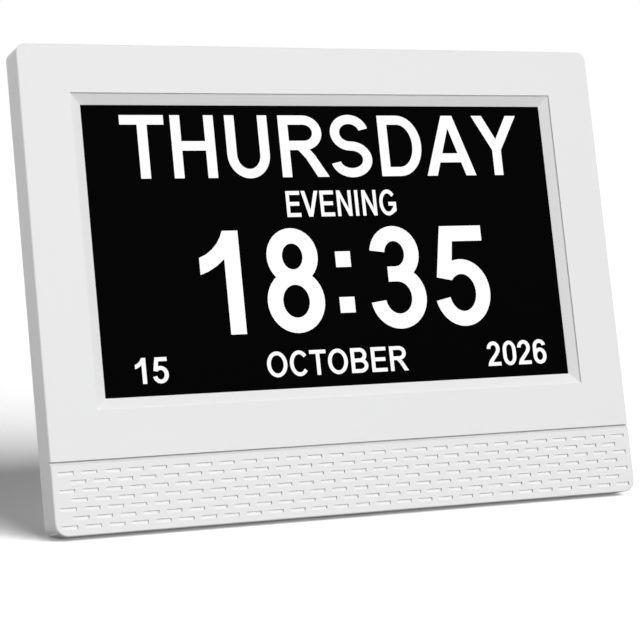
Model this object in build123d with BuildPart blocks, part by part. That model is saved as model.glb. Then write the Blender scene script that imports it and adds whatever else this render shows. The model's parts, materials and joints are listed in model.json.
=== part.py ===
from build123d import *
from math import cos, radians, sin, tan
import os

# Day clock: a leaning landscape housing with a 7 inch display, a slotted lower band,
# seven push buttons on the back and a folding leg.
#
# All sizes are in millimetres. +Z is up, the display looks towards -Y and the origin
# lies on the table, under the middle of the clock's box.
#
# The housing is drawn on the plane "face": x runs across the clock from its middle,
# y runs up the face from its bottom edge, and a depth is measured square to the face,
# towards the back, so face.offset(-depth) is the plane at that depth.

# ---------------------------------------------------------------- overall form
face_width = 191.4
face_height = 143.0
shell_depth = 10.35
corner_radius = 2.8
lower_corner_radius = 3.8
edge_chamfer = 0.25
lean_angle = 13.67
ground_land = 3.6

# ---------------------------------------------------------------- front shell
front_wall = 2.4
side_wall = 2.0
side_border = 18.55
top_border = 17.8
opening_bottom = 38.6
bevel_width = 3.3
bevel_step = 0.4
bevel_drop = 1.35
window_lip = 0.15

# ---------------------------------------------------------------- lower band
band_height = 21.15
band_thickness = 1.6
band_gap = 0.1
band_chamfer_rise = 0.95
band_chamfer_depth = 1.25
slot_row_pitch = 2.55
slot_length = 4.7
slot_height = 0.95
slot_depth = 0.45
slot_side_margin = 1.93
slot_bottom_margin = 2.07
slots_in_long_row = 27
slot_rows = 7
peg_width = 2.4
peg_side_margin = 11.5
peg_count = 4
peg_height = 11.3
peg_standout = 0.6
peg_clearance = 0.1

# ---------------------------------------------------------------- display module
display_side_overlap = 5.35
display_end_overlap = 6.7
display_depth = 5.7
display_clearance = 0.2
tray_wall = 0.6
glass_thickness = 1.7
diffuser_thickness = 0.5
guide_thickness = 2.5
led_length = 3.0
led_height = 0.8
led_end_margin = 5.0
led_count = 12
led_strip_thickness = 0.3

# ---------------------------------------------------------------- rear cover
cover_wall = 2.0
flange_thickness = 2.0
flange_clearance = 0.15
plateau_height = 10.25
plateau_inset = 5.0
plateau_radius = 14.0
plateau_taper = 20.0
plateau_chamfer = 1.5

# ---------------------------------------------------------------- screws
screw_radius = 1.0
screw_clearance = 0.05
screw_head_radius = 1.9
screw_head_height = 1.0
screw_boss_wall = 1.5
cover_screw_inset = 6.4
cover_screw_length = 6.0

# ---------------------------------------------------------------- display brackets
bracket_thickness = 0.8
bracket_width = 12.0
bracket_overlap = 4.0
bracket_screw_gap = 3.5
bracket_screw_length = 4.5

# ---------------------------------------------------------------- leg and hinge
hinge_height = 82.0
hinge_depth = 17.1
open_angle = 27.5
leg_width = 30.0
leg_tip_width = 22.0
leg_thickness = 4.5
leg_tip_thickness = 3.5
leg_shoulder = 14.0
leg_side_gap = 0.5
barrel_radius = 3.2
heel_length = 5.0
heel_width = 20.0
stop_gap = 0.3
pin_radius = 1.5
pin_running_gap = 0.06
pin_seat_gap = 0.02
bay_depth = 7.0
bay_floor_wall = 1.6
bay_end_gap = 0.5
boot_height = 8.0
boot_wall = 1.0
boot_floor = 1.6
boot_spread = 1.0
pocket_depth = 1.6
pocket_border = 3.2
pocket_tip_border = 2.2
pocket_above_boot = 4.0
pocket_rib = 1.6

# ---------------------------------------------------------------- wall keyholes
keyhole_spacing = 100.0
keyhole_below_top = 27.0
keyhole_radius = 4.0
keyhole_slot_width = 4.0
keyhole_slot_rise = 8.0

# ---------------------------------------------------------------- main board
board_bay_gap = 4.5
board_side_margin = 12.5
board_top_margin = 13.0
board_bottom = 20.0
board_thickness = 1.6
board_gap = 1.4
board_screw_length = 6.0
board_screw_inset = 4.0
board_slot_width = 2.4

# ---------------------------------------------------------------- buttons
button_names = ["exit", "right", "left", "down", "up", "menu", "power"]
button_board_margin = 11.0
button_bottom_room = 26.0
button_top_room = 21.0
button_length = 8.0
button_width = 5.0
button_clearance = 0.2
button_standout = 0.9
button_flange = 0.8
button_flange_thickness = 0.8
button_stem_width = 2.4
button_chamfer = 0.4
button_rest_gap = 0.3
press_gap = 0.6
switch_size = 6.0
switch_height = 3.4
plunger_width = 2.8
plunger_height = 1.3

# ---------------------------------------------------------------- speaker
speaker_length = 40.0
speaker_width = 20.0
speaker_height = 8.0
speaker_rim = 1.5
speaker_rim_thickness = 1.2
speaker_basket_depth = 4.2
speaker_side_margin = 43.5
speaker_y = 46.0
cone_thickness = 0.5
cone_inset = 1.0
magnet_length = 18.0
magnet_width = 10.0
speaker_rib = 1.2
speaker_rib_height = 3.0
speaker_clearance = 0.2
sound_slot_length = 26.0
sound_slot_width = 1.6
sound_slot_pitch = 3.4
sound_slots = 5

# ---------------------------------------------------------------- vents
vent_length = 12.0
vent_width = 1.6
vent_pitch = 4.0
vents = 11

# ---------------------------------------------------------------- power inlet and card slot
jack_above_board_end = 14.0
jack_length = 11.0
jack_width = 6.0
jack_height = 5.4
jack_socket_radius = 1.8
jack_socket_depth = 8.0
jack_pin_radius = 0.5
jack_opening_radius = 2.5
card_below_board_top = 9.5
card_socket_width = 14.5
card_socket_length = 14.5
card_socket_height = 1.9
card_slot_width = 12.0
card_slot_height = 1.2
card_slot_depth = 11.6

# ---------------------------------------------------------------- where things lie
lean = radians(lean_angle)
opening_width = face_width - 2 * side_border
opening_height = face_height - opening_bottom - top_border
opening_centre = opening_bottom + opening_height / 2
display_width = opening_width + 2 * display_side_overlap
display_height = opening_height + 2 * display_end_overlap
glass_depth = bevel_step + bevel_drop + window_lip
tray_back = glass_depth + display_depth
board_front = tray_back + board_gap
board_back = board_front + board_thickness
total_depth = shell_depth + plateau_height
cover_inside = total_depth - cover_wall
flange_front = shell_depth - flange_thickness
bay_floor = total_depth - bay_depth
bay_width = leg_width + 2 * leg_side_gap
bay_outer_width = bay_width + 2 * cover_wall
bay_top = hinge_height + heel_length + barrel_radius / 2 + bay_end_gap
frame_bottom = band_height + band_gap
band_floor = band_thickness + front_wall
display_bottom = opening_centre - display_height / 2
board_left = bay_outer_width / 2 + board_bay_gap
board_right = face_width / 2 - board_side_margin
board_top = face_height - board_top_margin
board_width = board_right - board_left
board_height = board_top - board_bottom
board_slot_length = 2 * board_screw_inset + board_slot_width
keyhole_height = face_height - keyhole_below_top
speaker_x = speaker_side_margin - face_width / 2
jack_y = board_bottom + jack_above_board_end
card_y = board_top - card_below_board_top
pilot_radius = screw_radius + screw_clearance
boss_width = 2 * (pilot_radius + screw_boss_wall)
cover_pilot_depth = cover_screw_length - flange_thickness + screw_clearance
bracket_pilot_depth = bracket_screw_length - bracket_thickness + screw_clearance

# The land is ground level across the shell's lowest edge, so that the clock rests on it.
land_rise = ground_land * sin(lean) * cos(lean)
front_edge_z = shell_depth * sin(lean) - land_rise

# The leg hangs from the hinge and leans the other way until its boot meets the table.
leg_lean = radians(open_angle) - lean
hinge_z = front_edge_z + hinge_height * cos(lean) - hinge_depth * sin(lean)
hinge_behind_face = hinge_height * sin(lean) + hinge_depth * cos(lean)
leg_reach = hinge_z / cos(leg_lean)
boot_half = leg_tip_thickness / 2 + boot_wall
leg_behind_face = hinge_behind_face + hinge_z * tan(leg_lean) + boot_half / cos(leg_lean)
cover_behind_face = (face_height - plateau_inset) * sin(lean) + total_depth * cos(lean)
front_edge_y = -max(leg_behind_face, cover_behind_face) / 2
hinge_y = front_edge_y + hinge_behind_face

face = Plane(
    origin=(0, front_edge_y, front_edge_z),
    x_dir=(1, 0, 0),
    z_dir=(0, -cos(lean), sin(lean)),
)
# Sections square to the clock's width: x runs up the face and y out of it, so a point
# at a depth has y = -depth.
section_plane = Plane(
    origin=(0, front_edge_y, front_edge_z),
    x_dir=(0, sin(lean), cos(lean)),
    z_dir=(1, 0, 0),
)
# The leg's own planes, through the hinge: across its thickness, and along its width.
leg_section = Plane(
    origin=(0, hinge_y, hinge_z),
    x_dir=(0, cos(leg_lean), sin(leg_lean)),
    z_dir=(1, 0, 0),
)
leg_plane = Plane(
    origin=(0, hinge_y, hinge_z),
    x_dir=(1, 0, 0),
    z_dir=(0, -cos(leg_lean), -sin(leg_lean)),
)

outward = Axis(face.origin, face.z_dir)
upward = Axis(face.origin, face.y_dir)
along_leg = Axis(leg_plane.origin, leg_plane.y_dir)

os.makedirs("parts", exist_ok=True)

# Places shared by the pieces that a screw holds together.
def corners(inset):
    """Places at one inset from all four corners of the face."""
    return [
        (side * (face_width / 2 - inset), height)
        for side in (-1, 1)
        for height in (inset, face_height - inset)
    ]


cover_screw_places = corners(cover_screw_inset)
bracket_screw_x = display_width / 2 + bracket_screw_gap
bracket_screw_places = [(side * bracket_screw_x, opening_centre) for side in (-1, 1)]
board_screw_places = [
    (board_left + board_screw_inset, board_bottom + board_screw_inset),
    (board_right - board_screw_inset, board_bottom + board_screw_inset),
    (board_left + board_screw_inset, board_top - board_screw_inset),
]
button_x = board_right - button_board_margin
button_bottom = board_bottom + button_bottom_room
button_pitch = (board_top - button_top_room - button_bottom) / (len(button_names) - 1)
button_places = [
    (button_x, button_bottom + row * button_pitch) for row in range(len(button_names))
]
peg_pitch = (face_width - 2 * peg_side_margin) / (peg_count - 1)
peg_places = [
    ((peg - (peg_count - 1) / 2) * peg_pitch, peg_height) for peg in range(peg_count)
]


# The outline of the face is rounder at its lower corners.
with BuildSketch() as face_outline:
    with Locations((0, face_height / 2)):
        Rectangle(face_width, face_height)
    fillet(face_outline.vertices().group_by(Axis.Y)[-1], corner_radius)
    fillet(face_outline.vertices().group_by(Axis.Y)[0], lower_corner_radius)


# ---------------------------------------------------------------- front shell
with BuildPart() as front_shell:
    with BuildSketch(face):
        add(face_outline.sketch)
    extrude(amount=-shell_depth)
    chamfer(front_shell.faces().sort_by(outward)[-1].edges(), edge_chamfer)

    # The seat of the lower band, cut back by the band plate's thickness.
    with BuildSketch(face):
        with Locations((0, frame_bottom / 2)):
            Rectangle(face_width, frame_bottom)
    extrude(amount=-band_thickness, mode=Mode.SUBTRACT)

    # The hollow behind the band, then the deeper one behind the face.
    with BuildSketch(face.offset(-shell_depth)):
        with Locations((0, face_height / 2)):
            Rectangle(face_width - 2 * side_wall, face_height - 2 * side_wall)
    extrude(amount=shell_depth - band_floor, mode=Mode.SUBTRACT)
    with BuildSketch(face.offset(-band_floor)):
        with Locations((0, (frame_bottom + front_wall + face_height - side_wall) / 2)):
            Rectangle(
                face_width - 2 * side_wall,
                face_height - side_wall - frame_bottom - front_wall,
            )
    extrude(amount=band_floor - front_wall, mode=Mode.SUBTRACT)

    # The shallow pocket that the display's tray drops into.
    with BuildSketch(face.offset(-front_wall)):
        with Locations((0, opening_centre)):
            Rectangle(
                display_width + 2 * display_clearance,
                display_height + 2 * display_clearance,
            )
    extrude(amount=front_wall - glass_depth, mode=Mode.SUBTRACT)

    # The window: a square step, a mitred bevel and a short straight lip.
    with BuildSketch(face):
        with Locations((0, opening_centre)):
            Rectangle(opening_width + 2 * bevel_width, opening_height + 2 * bevel_width)
    extrude(amount=-bevel_step, mode=Mode.SUBTRACT)
    with BuildSketch(face.offset(-bevel_step)):
        with Locations((0, opening_centre)):
            Rectangle(opening_width + 2 * bevel_width, opening_height + 2 * bevel_width)
    with BuildSketch(face.offset(-bevel_step - bevel_drop)):
        with Locations((0, opening_centre)):
            Rectangle(opening_width, opening_height)
    loft(mode=Mode.SUBTRACT)
    with BuildSketch(face.offset(-bevel_step - bevel_drop)):
        with Locations((0, opening_centre)):
            Rectangle(opening_width, opening_height)
    extrude(amount=-front_wall, mode=Mode.SUBTRACT)

    # Blocks in the corners for the cover's screws, and bosses for the display's brackets.
    corner_block = cover_screw_inset + boss_width / 2 - side_wall / 2
    with BuildSketch(face.offset(-front_wall)):
        with Locations(*corners((side_wall + corner_block) / 2)):
            Rectangle(corner_block, corner_block)
    extrude(amount=-(flange_front - front_wall))
    with BuildSketch(face.offset(-front_wall)):
        with Locations(*bracket_screw_places):
            Rectangle(boss_width, boss_width)
    extrude(amount=-(tray_back - front_wall))
    with BuildSketch(face.offset(-flange_front)):
        with Locations(*cover_screw_places):
            Circle(pilot_radius)
    extrude(amount=cover_pilot_depth, mode=Mode.SUBTRACT)
    with BuildSketch(face.offset(-tray_back)):
        with Locations(*bracket_screw_places):
            Circle(pilot_radius)
    extrude(amount=bracket_pilot_depth, mode=Mode.SUBTRACT)

    # Holes that the band plate's pegs drop through.
    with BuildSketch(face):
        with Locations(*peg_places):
            Rectangle(peg_width + 2 * peg_clearance, peg_width + 2 * peg_clearance)
    extrude(amount=-shell_depth, mode=Mode.SUBTRACT)

    # The land that rests on the table.
    split(bisect_by=Plane.XY, keep=Keep.TOP)
front_shell.part.label = "front_shell"
export_step(front_shell.part, "parts/front_shell.step")


# ---------------------------------------------------------------- slotted band plate
slot_pitch = (face_width - 2 * slot_side_margin - slot_length) / (slots_in_long_row - 1)
slot_rows_centre = slot_bottom_margin + slot_height / 2 + (slot_rows - 1) * slot_row_pitch / 2

with BuildPart() as grille_panel:
    with BuildSketch(face):
        add(face_outline.sketch)
        with Locations((0, band_height / 2)):
            Rectangle(face_width, band_height, mode=Mode.INTERSECT)
    extrude(amount=-band_thickness)
    # The top edge slopes steeply into the gap; the others are only broken.
    front_face = grille_panel.faces().sort_by(outward)[-1]
    top_edge = front_face.edges().sort_by(upward)[-1]
    chamfer(top_edge, band_chamfer_rise, band_chamfer_depth, reference=front_face)
    front_edges = grille_panel.faces().sort_by(outward)[-1].edges()
    chamfer(front_edges.sort_by(upward)[:-1], edge_chamfer)

    # Shallow slots in a brick pattern: each second row is shifted by half a pitch.
    with BuildSketch(face):
        with Locations((0, slot_rows_centre)):
            with GridLocations(
                slot_pitch, 2 * slot_row_pitch, slots_in_long_row, (slot_rows + 1) // 2
            ):
                Rectangle(slot_length, slot_height)
            with GridLocations(
                slot_pitch, 2 * slot_row_pitch, slots_in_long_row - 1, slot_rows // 2
            ):
                Rectangle(slot_length, slot_height)
    extrude(amount=-slot_depth, mode=Mode.SUBTRACT)

    # Pegs that hold the plate on the shell.
    with BuildSketch(face.offset(-band_thickness)):
        with Locations(*peg_places):
            Rectangle(peg_width, peg_width)
    extrude(amount=-(front_wall + peg_standout))
grille_panel.part.label = "grille_panel"
export_step(grille_panel.part, "parts/grille_panel.step")


# ---------------------------------------------------------------- rear cover
cavity_width = face_width - 2 * plateau_inset - 2 * cover_wall
cavity_height = face_height - 2 * plateau_inset - 2 * cover_wall
cavity_radius = plateau_radius - cover_wall

# The room inside the cover. What is taken out of it stays standing in the cover: the
# walls of the leg bay, the board's posts and the rib round the speaker.
with BuildPart() as cover_room:
    with BuildSketch(face.offset(-flange_front)):
        with Locations((0, face_height / 2)):
            RectangleRounded(cavity_width, cavity_height, cavity_radius)
    extrude(amount=-flange_thickness)
    with BuildSketch(face.offset(-shell_depth)):
        with Locations((0, face_height / 2)):
            RectangleRounded(cavity_width, cavity_height, cavity_radius)
    extrude(amount=-(plateau_height - cover_wall), taper=plateau_taper)
    with BuildSketch(face.offset(-(bay_floor - bay_floor_wall))):
        with Locations((0, (bay_top + cover_wall) / 2)):
            Rectangle(bay_outer_width, bay_top + cover_wall)
    extrude(amount=-plateau_height, mode=Mode.SUBTRACT)
    with BuildSketch(face.offset(-board_back)):
        with Locations(*board_screw_places):
            Rectangle(boss_width, boss_width)
    extrude(amount=-plateau_height, mode=Mode.SUBTRACT)
    with BuildSketch(face.offset(-(cover_inside - speaker_rib_height))):
        with Locations((speaker_x, speaker_y)):
            Rectangle(
                speaker_length + 2 * speaker_clearance + 2 * speaker_rib,
                speaker_width + 2 * speaker_clearance + 2 * speaker_rib,
            )
            Rectangle(
                speaker_length + 2 * speaker_clearance,
                speaker_width + 2 * speaker_clearance,
                mode=Mode.SUBTRACT,
            )
    extrude(amount=-plateau_height, mode=Mode.SUBTRACT)

with BuildPart() as rear_cover:
    with BuildSketch(face.offset(-flange_front)):
        with Locations((0, face_height / 2)):
            Rectangle(
                face_width - 2 * side_wall - 2 * flange_clearance,
                face_height - 2 * side_wall - 2 * flange_clearance,
            )
    extrude(amount=-flange_thickness)
    with BuildSketch(face.offset(-shell_depth)):
        with Locations((0, face_height / 2)):
            RectangleRounded(
                face_width - 2 * plateau_inset,
                face_height - 2 * plateau_inset,
                plateau_radius,
            )
    extrude(amount=-plateau_height, taper=plateau_taper)
    chamfer(rear_cover.faces().sort_by(outward)[0].edges(), plateau_chamfer)
    add(cover_room.part, mode=Mode.SUBTRACT)

    # The bay that the leg folds into, open at the bottom.
    with BuildSketch(face.offset(-bay_floor)):
        with Locations((0, bay_top / 2)):
            Rectangle(bay_width, bay_top)
    extrude(amount=-2 * bay_depth, mode=Mode.SUBTRACT)
    with BuildSketch(Plane(origin=(0, hinge_y, hinge_z), x_dir=(0, 1, 0), z_dir=(1, 0, 0))):
        Circle(pin_radius + pin_seat_gap)
    extrude(amount=bay_outer_width, both=True, mode=Mode.SUBTRACT)

    # Screw holes: right through the flange's corners, blind in the board's posts.
    with BuildSketch(face.offset(-shell_depth)):
        with Locations(*cover_screw_places):
            Circle(pilot_radius)
    extrude(amount=flange_thickness, mode=Mode.SUBTRACT)
    with BuildSketch(face.offset(-board_back)):
        with Locations(*board_screw_places):
            Circle(pilot_radius)
    extrude(amount=-board_screw_length, mode=Mode.SUBTRACT)

    # Openings in the flat back: buttons, sound, vents and wall keyholes.
    with BuildSketch(face.offset(-cover_inside)):
        with Locations(*button_places):
            Rectangle(
                button_length + 2 * button_clearance, button_width + 2 * button_clearance
            )
        with Locations((speaker_x, speaker_y)):
            with GridLocations(0, sound_slot_pitch, 1, sound_slots):
                Rectangle(sound_slot_length, sound_slot_width)
        with Locations((0, keyhole_height)):
            with GridLocations(vent_pitch, 0, vents, 1):
                Rectangle(vent_width, vent_length)
        with Locations((0, keyhole_height)):
            with GridLocations(keyhole_spacing, 0, 2, 1):
                Circle(keyhole_radius)
        with Locations((0, keyhole_height + keyhole_slot_rise / 2)):
            with GridLocations(keyhole_spacing, 0, 2, 1):
                SlotOverall(
                    keyhole_slot_rise + keyhole_slot_width, keyhole_slot_width, rotation=90
                )
    extrude(amount=-2 * cover_wall, mode=Mode.SUBTRACT)

    # Openings in the side wall: the power plug's and the memory card's.
    with BuildSketch(section_plane.offset(board_right)):
        with Locations((jack_y, -(board_back + jack_height / 2))):
            Circle(jack_opening_radius)
        with Locations((card_y, -(board_back + card_socket_height / 2))):
            Rectangle(card_slot_width, card_slot_height)
    extrude(amount=face_width / 2 - board_right, mode=Mode.SUBTRACT)
rear_cover.part.label = "rear_cover"
export_step(rear_cover.part, "parts/rear_cover.step")

with BuildPart() as cover_screws:
    with BuildSketch(face.offset(-shell_depth)):
        with Locations(*cover_screw_places):
            Circle(screw_head_radius)
    extrude(amount=-screw_head_height)
    with BuildSketch(face.offset(-shell_depth)):
        with Locations(*cover_screw_places):
            Circle(screw_radius)
    extrude(amount=cover_screw_length)
cover_screws.part.label = "cover_screws"
export_step(cover_screws.part, "parts/cover_screws.step")


# ---------------------------------------------------------------- display module
tray_inner_width = display_width - 2 * tray_wall
tray_inner_height = display_height - 2 * tray_wall
tray_inner_bottom = display_bottom + tray_wall
light_edge = tray_inner_bottom + led_strip_thickness + led_height
sheet_height = tray_inner_height - led_strip_thickness - led_height
diffuser_front = glass_depth + glass_thickness
guide_front = diffuser_front + diffuser_thickness
guide_back = guide_front + guide_thickness
tray_floor = tray_back - tray_wall
led_strip_length = tray_inner_width - 2 * led_end_margin

with BuildPart() as lcd_frame:
    with BuildSketch(face.offset(-glass_depth)):
        with Locations((0, opening_centre)):
            Rectangle(display_width, display_height)
    extrude(amount=-display_depth)
    with BuildSketch(face.offset(-glass_depth)):
        with Locations((0, opening_centre)):
            Rectangle(tray_inner_width, tray_inner_height)
    extrude(amount=-(display_depth - tray_wall), mode=Mode.SUBTRACT)
lcd_frame.part.label = "lcd_frame"
export_step(lcd_frame.part, "parts/lcd_frame.step")

with BuildPart() as lcd_glass:
    with BuildSketch(face.offset(-glass_depth)):
        with Locations((0, opening_centre)):
            Rectangle(tray_inner_width, tray_inner_height)
    extrude(amount=-glass_thickness)
lcd_glass.part.label = "lcd_glass"
export_step(lcd_glass.part, "parts/lcd_glass.step")

with BuildPart() as diffuser_sheet:
    with BuildSketch(face.offset(-diffuser_front)):
        with Locations((0, light_edge + sheet_height / 2)):
            Rectangle(tray_inner_width, sheet_height)
    extrude(amount=-diffuser_thickness)
diffuser_sheet.part.label = "diffuser_sheet"
export_step(diffuser_sheet.part, "parts/diffuser_sheet.step")

with BuildPart() as light_guide:
    with BuildSketch(face.offset(-guide_front)):
        with Locations((0, light_edge + sheet_height / 2)):
            Rectangle(tray_inner_width, sheet_height)
    extrude(amount=-guide_thickness)
light_guide.part.label = "light_guide"
export_step(light_guide.part, "parts/light_guide.step")

with BuildPart() as reflector_sheet:
    with BuildSketch(face.offset(-guide_back)):
        with Locations((0, light_edge + sheet_height / 2)):
            Rectangle(tray_inner_width, sheet_height)
    extrude(amount=-(tray_floor - guide_back))
reflector_sheet.part.label = "reflector_sheet"
export_step(reflector_sheet.part, "parts/reflector_sheet.step")

with BuildPart() as led_strip:
    with BuildSketch(face.offset(-guide_front)):
        with Locations((0, tray_inner_bottom + led_strip_thickness / 2)):
            Rectangle(led_strip_length, led_strip_thickness)
        with Locations((0, light_edge - led_height / 2)):
            with GridLocations(led_strip_length / led_count, 0, led_count, 1):
                Rectangle(led_length, led_height)
    extrude(amount=-guide_thickness)
led_strip.part.label = "led_strip"
export_step(led_strip.part, "parts/led_strip.step")

# Each clamp is a plate with a slot open to its outer end, so that it slides under its screw.
bracket_inner_end = display_width / 2 - bracket_overlap
bracket_outer_end = bracket_screw_x + boss_width / 2
bracket_middle = (bracket_inner_end + bracket_outer_end) / 2
with BuildPart() as display_brackets:
    with BuildSketch(face.offset(-tray_back)):
        for side in (-1, 1):
            with Locations((side * bracket_middle, opening_centre)):
                Rectangle(bracket_outer_end - bracket_inner_end, bracket_width)
            with Locations((side * bracket_outer_end, opening_centre)):
                Rectangle(
                    boss_width + 2 * pilot_radius, 2 * pilot_radius, mode=Mode.SUBTRACT
                )
    extrude(amount=-bracket_thickness)
display_brackets.part.label = "display_brackets"
export_step(display_brackets.part, "parts/display_brackets.step")

with BuildPart() as bracket_screws:
    with BuildSketch(face.offset(-(tray_back + bracket_thickness))):
        with Locations(*bracket_screw_places):
            RegularPolygon(screw_head_radius, 6)
    extrude(amount=-screw_head_height)
    with BuildSketch(face.offset(-(tray_back + bracket_thickness))):
        with Locations(*bracket_screw_places):
            Circle(screw_radius)
    extrude(amount=bracket_screw_length)
bracket_screws.part.label = "bracket_screws"
export_step(bracket_screws.part, "parts/bracket_screws.step")


# ---------------------------------------------------------------- main board
with BuildPart() as main_board:
    with BuildSketch(face.offset(-board_front)):
        with Locations((board_left + board_width / 2, board_bottom + board_height / 2)):
            Rectangle(board_width, board_height)
        # Slots for the screws, open to the board's ends.
        with Locations(*[(x, board_bottom) for x, height in board_screw_places[:2]]):
            Rectangle(board_slot_width, board_slot_length, mode=Mode.SUBTRACT)
        with Locations((board_screw_places[2][0], board_top)):
            Rectangle(board_slot_width, board_slot_length, mode=Mode.SUBTRACT)
    extrude(amount=-board_thickness)
main_board.part.label = "main_board"
export_step(main_board.part, "parts/main_board.step")

with BuildPart() as board_screws:
    with BuildSketch(face.offset(-board_front)):
        with Locations(*board_screw_places):
            RegularPolygon(screw_head_radius, 6)
    extrude(amount=screw_head_height)
    with BuildSketch(face.offset(-board_front)):
        with Locations(*board_screw_places):
            Circle(screw_radius)
    extrude(amount=-(board_screw_length - screw_clearance))
board_screws.part.label = "board_screws"
export_step(board_screws.part, "parts/board_screws.step")

# Flat chips, the crystal and the inductor: how far each lies from the board's lower left
# corner, across and up, then its two sides and its height.
block_chamfer = 0.2
soldered_blocks = {
    "processor_chip": (22.0, 40.0, 14.0, 14.0, 1.4),
    "memory_chip": (22.0, 57.0, 11.0, 8.0, 1.2),
    "amplifier_chip": (8.0, 18.0, 6.0, 5.0, 1.5),
    "crystal": (7.0, 46.0, 4.5, 11.0, 3.6),
    "inductor": (17.0, 18.0, 6.0, 6.0, 2.8),
}
for name, (across, up, width, length, height) in soldered_blocks.items():
    with BuildPart() as block:
        with BuildSketch(face.offset(-board_back)):
            with Locations((board_left + across, board_bottom + up)):
                Rectangle(width, length)
        extrude(amount=-height)
        chamfer(block.faces().sort_by(outward)[0].edges(), block_chamfer)
    block.part.label = name
    export_step(block.part, f"parts/{name}.step")

capacitor_radius = 3.15
capacitor_height = 5.4
capacitor_base = 6.6
capacitor_base_thickness = 0.9
capacitor_gap = 1.4
capacitors_across = 30.0
capacitors_up = 18.0
capacitors_place = (board_left + capacitors_across, board_bottom + capacitors_up)
with BuildPart() as capacitors:
    with BuildSketch(face.offset(-board_back)):
        with Locations(capacitors_place):
            with GridLocations(capacitor_base + capacitor_gap, 0, 2, 1):
                Rectangle(capacitor_base, capacitor_base)
    extrude(amount=-capacitor_base_thickness)
    with BuildSketch(face.offset(-(board_back + capacitor_base_thickness))):
        with Locations(capacitors_place):
            with GridLocations(capacitor_base + capacitor_gap, 0, 2, 1):
                Circle(capacitor_radius)
    extrude(amount=-(capacitor_height - capacitor_base_thickness))
capacitors.part.label = "capacitors"
export_step(capacitors.part, "parts/capacitors.step")

cell_radius = 10.0
cell_thickness = 3.2
cell_across = 20.0
cell_up = 77.0
cell_place = (board_left + cell_across, board_bottom + cell_up)
holder_wall = 1.0
holder_floor = 1.0
holder_clearance = 0.1
holder_width = 2 * (cell_radius + holder_clearance + holder_wall)
with BuildPart() as coin_cell_holder:
    with BuildSketch(face.offset(-board_back)):
        with Locations(cell_place):
            Rectangle(holder_width, holder_width)
    extrude(amount=-(holder_floor + cell_thickness))
    # The pocket is round at its closed end and open on the side that the cell slides in from.
    with BuildSketch(face.offset(-(board_back + holder_floor))):
        with Locations(cell_place):
            Circle(cell_radius + holder_clearance)
        with Locations((cell_place[0], cell_place[1] - holder_width / 4)):
            Rectangle(2 * (cell_radius + holder_clearance), holder_width / 2)
    extrude(amount=-cell_thickness, mode=Mode.SUBTRACT)
coin_cell_holder.part.label = "coin_cell_holder"
export_step(coin_cell_holder.part, "parts/coin_cell_holder.step")

with BuildPart() as coin_cell:
    with BuildSketch(face.offset(-(board_back + holder_floor))):
        with Locations(cell_place):
            Circle(cell_radius)
    extrude(amount=-cell_thickness)
coin_cell.part.label = "coin_cell"
export_step(coin_cell.part, "parts/coin_cell.step")

# The ribbon leaves the display's lower edge, passes round the board's bottom edge and
# ends in its connector on the board's back.
ribbon_width = 24.0
ribbon_thickness = 0.3
ribbon_x = board_left + board_width / 2
ribbon_exit = 5.2
ribbon_turn_gap = 3.5
ribbon_bend = 1.5
connector_height = 2.0
connector_length = 4.5
connector_side = 1.0
connector_edge_gap = 2.5
connector_place = board_bottom + connector_edge_gap
with BuildPart() as display_ribbon:
    with BuildSketch(section_plane.offset(ribbon_x - ribbon_width / 2)):
        with BuildLine():
            FilletPolyline(
                (display_bottom, -ribbon_exit),
                (board_bottom - ribbon_turn_gap, -ribbon_exit),
                (board_bottom - ribbon_turn_gap, -(board_back + connector_height / 2)),
                (connector_place, -(board_back + connector_height / 2)),
                radius=ribbon_bend,
            )
        trace(line_width=ribbon_thickness)
    extrude(amount=ribbon_width)
display_ribbon.part.label = "display_ribbon"
export_step(display_ribbon.part, "parts/display_ribbon.step")

with BuildPart() as ribbon_connector:
    with BuildSketch(face.offset(-board_back)):
        with Locations((ribbon_x, connector_place + connector_length / 2)):
            Rectangle(ribbon_width + 2 * connector_side, connector_length)
    extrude(amount=-connector_height)
ribbon_connector.part.label = "ribbon_connector"
export_step(ribbon_connector.part, "parts/ribbon_connector.step")

with BuildPart() as tact_switches:
    with BuildSketch(face.offset(-board_back)):
        with Locations(*button_places):
            Rectangle(switch_size, switch_size)
    extrude(amount=-switch_height)
    with BuildSketch(face.offset(-(board_back + switch_height))):
        with Locations(*button_places):
            Rectangle(plunger_width, plunger_width)
    extrude(amount=-plunger_height)
tact_switches.part.label = "tact_switches"
export_step(tact_switches.part, "parts/tact_switches.step")

# The power inlet ends just inside the sloping side wall.
slope = tan(radians(plateau_taper))
jack_rise = board_back + jack_height - shell_depth
jack_face = face_width / 2 - plateau_inset - cover_wall - jack_rise * slope
with BuildPart() as dc_jack:
    with BuildSketch(face.offset(-board_back)):
        with Locations((jack_face - jack_length / 2, jack_y)):
            Rectangle(jack_length, jack_width)
    extrude(amount=-jack_height)
    with BuildSketch(section_plane.offset(jack_face)):
        with Locations((jack_y, -(board_back + jack_height / 2))):
            Circle(jack_socket_radius)
            Circle(jack_pin_radius, mode=Mode.SUBTRACT)
    extrude(amount=-jack_socket_depth, mode=Mode.SUBTRACT)
dc_jack.part.label = "dc_jack"
export_step(dc_jack.part, "parts/dc_jack.step")

with BuildPart() as card_socket:
    with BuildSketch(face.offset(-board_back)):
        with Locations((board_right - card_socket_length / 2, card_y)):
            Rectangle(card_socket_length, card_socket_width)
    extrude(amount=-card_socket_height)
    with BuildSketch(section_plane.offset(board_right)):
        with Locations((card_y, -(board_back + card_socket_height / 2))):
            Rectangle(card_slot_width, card_slot_height)
    extrude(amount=-card_slot_depth, mode=Mode.SUBTRACT)
card_socket.part.label = "card_socket"
export_step(card_socket.part, "parts/card_socket.step")


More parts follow.
